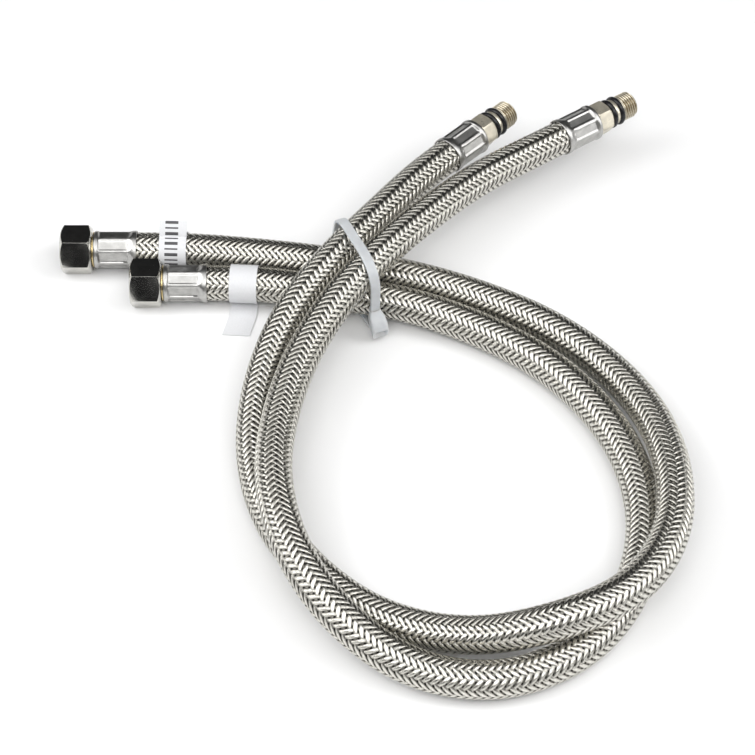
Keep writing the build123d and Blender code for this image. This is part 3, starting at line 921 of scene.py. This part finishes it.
class CONNECTOR_OT_stage(bpy.types.Operator):
    """Lay the floor, light it softly and set the camera"""
    bl_idname = "connector.stage"
    bl_label = "Stage"

    def execute(self, context):
        scene = context.scene
        scene.view_settings.view_transform = "Standard"
        floor = bpy.data.meshes.new("Floor")
        reach = FLOOR_REACH
        corners = [(-reach, -reach, 0), (reach, -reach, 0), (reach, reach, 0), (-reach, reach, 0)]
        floor.from_pydata(corners, [], [(0, 1, 2, 3)])
        material, tree, shader = new_material("Pale floor", (0.86, 0.86, 0.86), 0.75)
        place = object_place(tree)
        tone = noise(tree, place, 30.0, 2.0, 0.5)
        tree.links.new(tint(tree, tone, (0.85, 0.85, 0.85), (0.87, 0.87, 0.87)), shader.inputs["Base Color"])
        new_object("Floor", floor, material)
        world = bpy.data.worlds.new("Studio")
        world.use_nodes = True
        world.node_tree.nodes["Background"].inputs["Color"].default_value = (0.5, 0.51, 0.53, 1)
        world.node_tree.nodes["Background"].inputs["Strength"].default_value = 0.04
        scene.world = world
        for name, place, aim, wide, tall, power in LIGHTS:
            data = bpy.data.lights.new(name, "AREA")
            data.shape = "RECTANGLE"
            data.size = wide
            data.size_y = tall
            data.energy = power
            lamp = bpy.data.objects.new(name, data)
            lamp.location = place
            lamp.rotation_euler = (Vector(aim) - Vector(place)).to_track_quat("-Z", "Y").to_euler()
            scene.collection.objects.link(lamp)
        data = bpy.data.cameras.new("Camera")
        data.lens = CAMERA_LENS
        data.sensor_width = 36.0
        data.clip_start = 0.01
        data.clip_end = 20.0
        camera = bpy.data.objects.new("Camera", data)
        camera.location = Vector(CAMERA_PLACE) * MM
        look = Vector(CAMERA_AIM) * MM - camera.location
        camera.rotation_euler = look.to_track_quat("-Z", "Y").to_euler()
        scene.collection.objects.link(camera)
        scene.camera = camera
        return {"FINISHED"}


class CONNECTOR_OT_hoses(bpy.types.Operator):
    """Lay both hoses: the rubber tube and the strands woven over it"""
    bl_idname = "connector.hoses"
    bl_label = "Hoses"

    def execute(self, context):
        hose = context.scene.connector_hose
        steps = 1030
        for name, route in ROUTES.items():
            tube = new_object(name + "_tube", hose_curve(name + " tube", route, hose.core_radius))
            settle(tube, finishes()["Tube rubber"], "inner_tube_rubber", BODY, name + "_inner_tube")
            line = line_mesh(name)
            for hand, word in ((1.0, "right"), (-1.0, "left")):
                strands = wound_strands(name + "_strands_" + word, line, hand, steps)
                settle(strands, finishes()["Braid wire"], "stainless_braid", BODY, name + "_braid")
        return {"FINISHED"}


class CONNECTOR_OT_fittings(bpy.types.Operator):
    """Finish the sleeves, nuts, stems, tails and seals"""
    bl_idname = "connector.fittings"
    bl_label = "Fittings"

    def execute(self, context):
        looks = finishes()
        sizes = context.scene.connector_fitting
        for name, route in ROUTES.items():
            for mouth, inner, end in ((route[0], route[1], "nut"), (route[-1], route[-2], "tail")):
                place = outward_frame(mouth, inner)
                sleeve = name + "_" + end + "_sleeve"
                mesh = turned_mesh(sleeve + "_pressed", SLEEVE_OUTLINE, place, 128, pressed)
                shade(mesh, 50.0)
                piece = new_object(sleeve + "_pressed", mesh)
                settle(piece, looks["Pressed sleeve"], "crimp_sleeve", BODY, sleeve)
            outline = list(TAIL_OUTLINE)
            step = sizes.tail_pitch / MM / PROFILE_POINTS_PER_TURN
            height = TAIL_THREAD[0] + step
            tip = sizes.tail_thread_radius / MM
            while height < TAIL_THREAD[1] - 0.02:
                outline.append((min(tip, tip - TIP_CHAMFER + (TAIL_THREAD[1] - height)), height))
                height += step
            outline += [
                (tip - TIP_FACE_STEP, TAIL_THREAD[1]),
                (TAIL_BORE + TAIL_BORE_CHAMFER[0], TAIL_THREAD[1]),
                (TAIL_BORE, TAIL_THREAD[1] - TAIL_BORE_CHAMFER[1]),
            ]
            mesh = turned_mesh(name + "_tail_turned", outline, place, 96, hexagonal)
            shade(mesh, 40.0)
            piece = new_object(name + "_tail_turned", mesh)
            settle(piece, looks["Tail plate"], "nickel_plate", BODY, name + "_tail")
            place = outward_frame(route[0], route[1])
            step = sizes.nut_pitch / MM / PROFILE_POINTS_PER_TURN
            count = int((NUT_THREAD[1] - NUT_THREAD[0]) / step)
            inside = [(NUT_THREAD_RADIUS, NUT_THREAD[0] + step * index) for index in range(count + 1)]
            liner = [(NUT_LINER_RADIUS, NUT_THREAD[0]), *inside, (NUT_LINER_RADIUS, inside[-1][1])]
            mesh = turned_mesh(name + "_nut_thread", liner, place, 96, threaded)
            shade(mesh, 50.0)
            piece = new_object(name + "_nut_thread", mesh)
            settle(piece, looks["Nickel plate"], "nickel_plate", name + "_nut")
        machined = (
            ("_nut_stem", "Bare brass", "bare_brass", 0.5),
            ("_swivel_nut", "Nickel plate", "nickel_plate", 1.0),
        )
        for node in frame["nodes"]:
            for ending, look, slot, width in machined:
                if node.endswith(ending):
                    piece = softened_copy(node, sizes.edge * width)
                    body = body_of(bpy.data.objects[node])[0]
                    settle(piece, looks[look], slot, body, node)
            if node.endswith(("_o_ring", "_washer")):
                piece = bpy.data.objects[node]
                piece.data.materials.clear()
                piece.data.materials.append(looks["Seal rubber"])
        return {"FINISHED"}


class CONNECTOR_OT_tags(bpy.types.Operator):
    """Fold the paper tags round the hoses, one printed with plain bars and one blank"""
    bl_idname = "connector.tags"
    bl_label = "Paper tags"

    def execute(self, context):
        trim = context.scene.connector_trim
        radius = trim.tag_radius / MM
        for name, look in (("rear", "Printed tag"), ("front", "Tag paper")):
            line = [vert.co.copy() for vert in line_mesh(name).vertices]
            walked = 0.0
            for here, there in zip(line, line[1:]):
                walked += (there - here).length
                if walked >= TAG_DISTANCE * MM:
                    break
            ahead = (there - here).normalized()
            level = Vector((-ahead.y, ahead.x, 0)).normalized()
            up = ahead.cross(level)
            place = Matrix((level, up, ahead)).transposed().to_4x4()
            place.translation = there
            path = []
            if name == "rear":
                for step in range(10):
                    share = 1 - step / 10
                    rise = 4.6 * share - 0.6 * share ** 2
                    path.append((3.0 * share + 0.9 * share ** 2, radius + 0.15 + rise))
                start, turn = 90.0, 1
            else:
                floor = -there.z / MM + 0.35
                for step in range(14):
                    share = 1 - step / 14
                    sag = (1 - share) ** 2
                    path.append((-0.6 - 17.6 * share, floor + 0.5 * sag))
                path.append((-0.4, -radius - 0.15))
                start, turn = -90.0, -1
            for step in range(61):
                angle = math.radians(start + turn * 6.0 * step)
                path.append((radius * math.cos(angle), radius * math.sin(angle)))
            skew = 0.0 if name == "rear" else -1.6
            piece = tag_strip(name + "_tag_folded", place, path, skew, TAG_WIDTH, trim.paper_thickness)
            settle(piece, finishes()[look], "paper_tag", BODY, name + "_tag")
        return {"FINISHED"}


class CONNECTOR_OT_tie(bpy.types.Operator):
    """Draw the nylon tie round all four passes of the hoses"""
    bl_idname = "connector.tie"
    bl_label = "Cable tie"

    def execute(self, context):
        trim = context.scene.connector_trim
        path, origin, along, across = tie_path(trim.tie_slack)
        up = Vector((0, 0, 1))
        bm = bmesh.new()
        rings = []
        for index, spot in enumerate(path):
            ahead = (path[(index + 1) % len(path)] - path[index - 1]).normalized()
            out = along * ahead.y - up * ahead.x
            centre = origin + along * spot.x + up * spot.y
            section = rounded_section(centre, across, out, trim.tie_width, trim.tie_thickness, 20, 0.3)
            rings.append([bm.verts.new(point) for point in section])
        for index, here in enumerate(rings):
            there = rings[(index + 1) % len(rings)]
            for step in range(len(here)):
                after = (step + 1) % len(here)
                bm.faces.new((here[step], here[after], there[after], there[step]))
        sections = []
        for reach, width, depth in TIE_HEAD:
            centre, run, out = head_place(reach, origin, along)
            slant = run * 0.6 * smooth(3.5, 7.5, reach)
            centre = centre + out * (depth - 1.3) * MM / 2
            sections.append(rounded_section(centre, across, out - slant, width * MM, depth * MM))
        loft(bm, sections)
        stub = []
        for reach in (5.4, 6.4, 7.6):
            centre, run, out = head_place(reach, origin, along)
            centre = centre + out * 1.0 * MM
            stub.append(rounded_section(centre, across, out - run * 0.5, 3.3 * MM, 1.0 * MM, 16, 0.3))
        loft(bm, stub)
        bmesh.ops.recalc_face_normals(bm, faces=bm.faces)
        mesh = bpy.data.meshes.new("cable_tie_moulded")
        bm.to_mesh(mesh)
        bm.free()
        shade(mesh, 42.0)
        piece = new_object("cable_tie_moulded", mesh)
        settle(piece, finishes()["Natural nylon"], "natural_nylon", BODY, "cable_tie")
        low = min(vert.co.z for vert in mesh.vertices)
        if low < 0:
            raise RuntimeError("The tie goes %.2f mm into the floor" % (-low / MM))
        return {"FINISHED"}


class CONNECTOR_PT_panel(bpy.types.Panel):
    """Lists the pieces that can be built"""
    bl_label = "Tap connectors"
    bl_idname = "CONNECTOR_PT_panel"
    bl_space_type = "VIEW_3D"
    bl_region_type = "UI"
    bl_category = "Tap connectors"

    def draw(self, context):
        scene = context.scene
        groups = (scene.connector_hose, scene.connector_fitting, scene.connector_trim, scene.connector_finish)
        for settings in groups:
            box = self.layout.box()
            for key in settings.__annotations__:
                box.prop(settings, key)
        for operator in OPERATORS:
            self.layout.operator(operator.bl_idname)


OPERATORS = (
    CONNECTOR_OT_stage, CONNECTOR_OT_hoses, CONNECTOR_OT_fittings, CONNECTOR_OT_tags, CONNECTOR_OT_tie,
)
CLASSES = (HoseSettings, FittingSettings, TrimSettings, FinishSettings, *OPERATORS, CONNECTOR_PT_panel)


def register():
    for kind in CLASSES:
        bpy.utils.register_class(kind)
    bpy.types.Scene.connector_hose = bpy.props.PointerProperty(type=HoseSettings)
    bpy.types.Scene.connector_fitting = bpy.props.PointerProperty(type=FittingSettings)
    bpy.types.Scene.connector_trim = bpy.props.PointerProperty(type=TrimSettings)
    bpy.types.Scene.connector_finish = bpy.props.PointerProperty(type=FinishSettings)


def unregister():
    del bpy.types.Scene.connector_hose
    del bpy.types.Scene.connector_fitting
    del bpy.types.Scene.connector_trim
    del bpy.types.Scene.connector_finish
    for kind in reversed(CLASSES):
        bpy.utils.unregister_class(kind)


def main():
    register()
    bpy.ops.connector.stage()
    bpy.ops.connector.hoses()
    bpy.ops.connector.fittings()
    bpy.ops.connector.tags()
    bpy.ops.connector.tie()


if __name__ == "__main__":
    main()
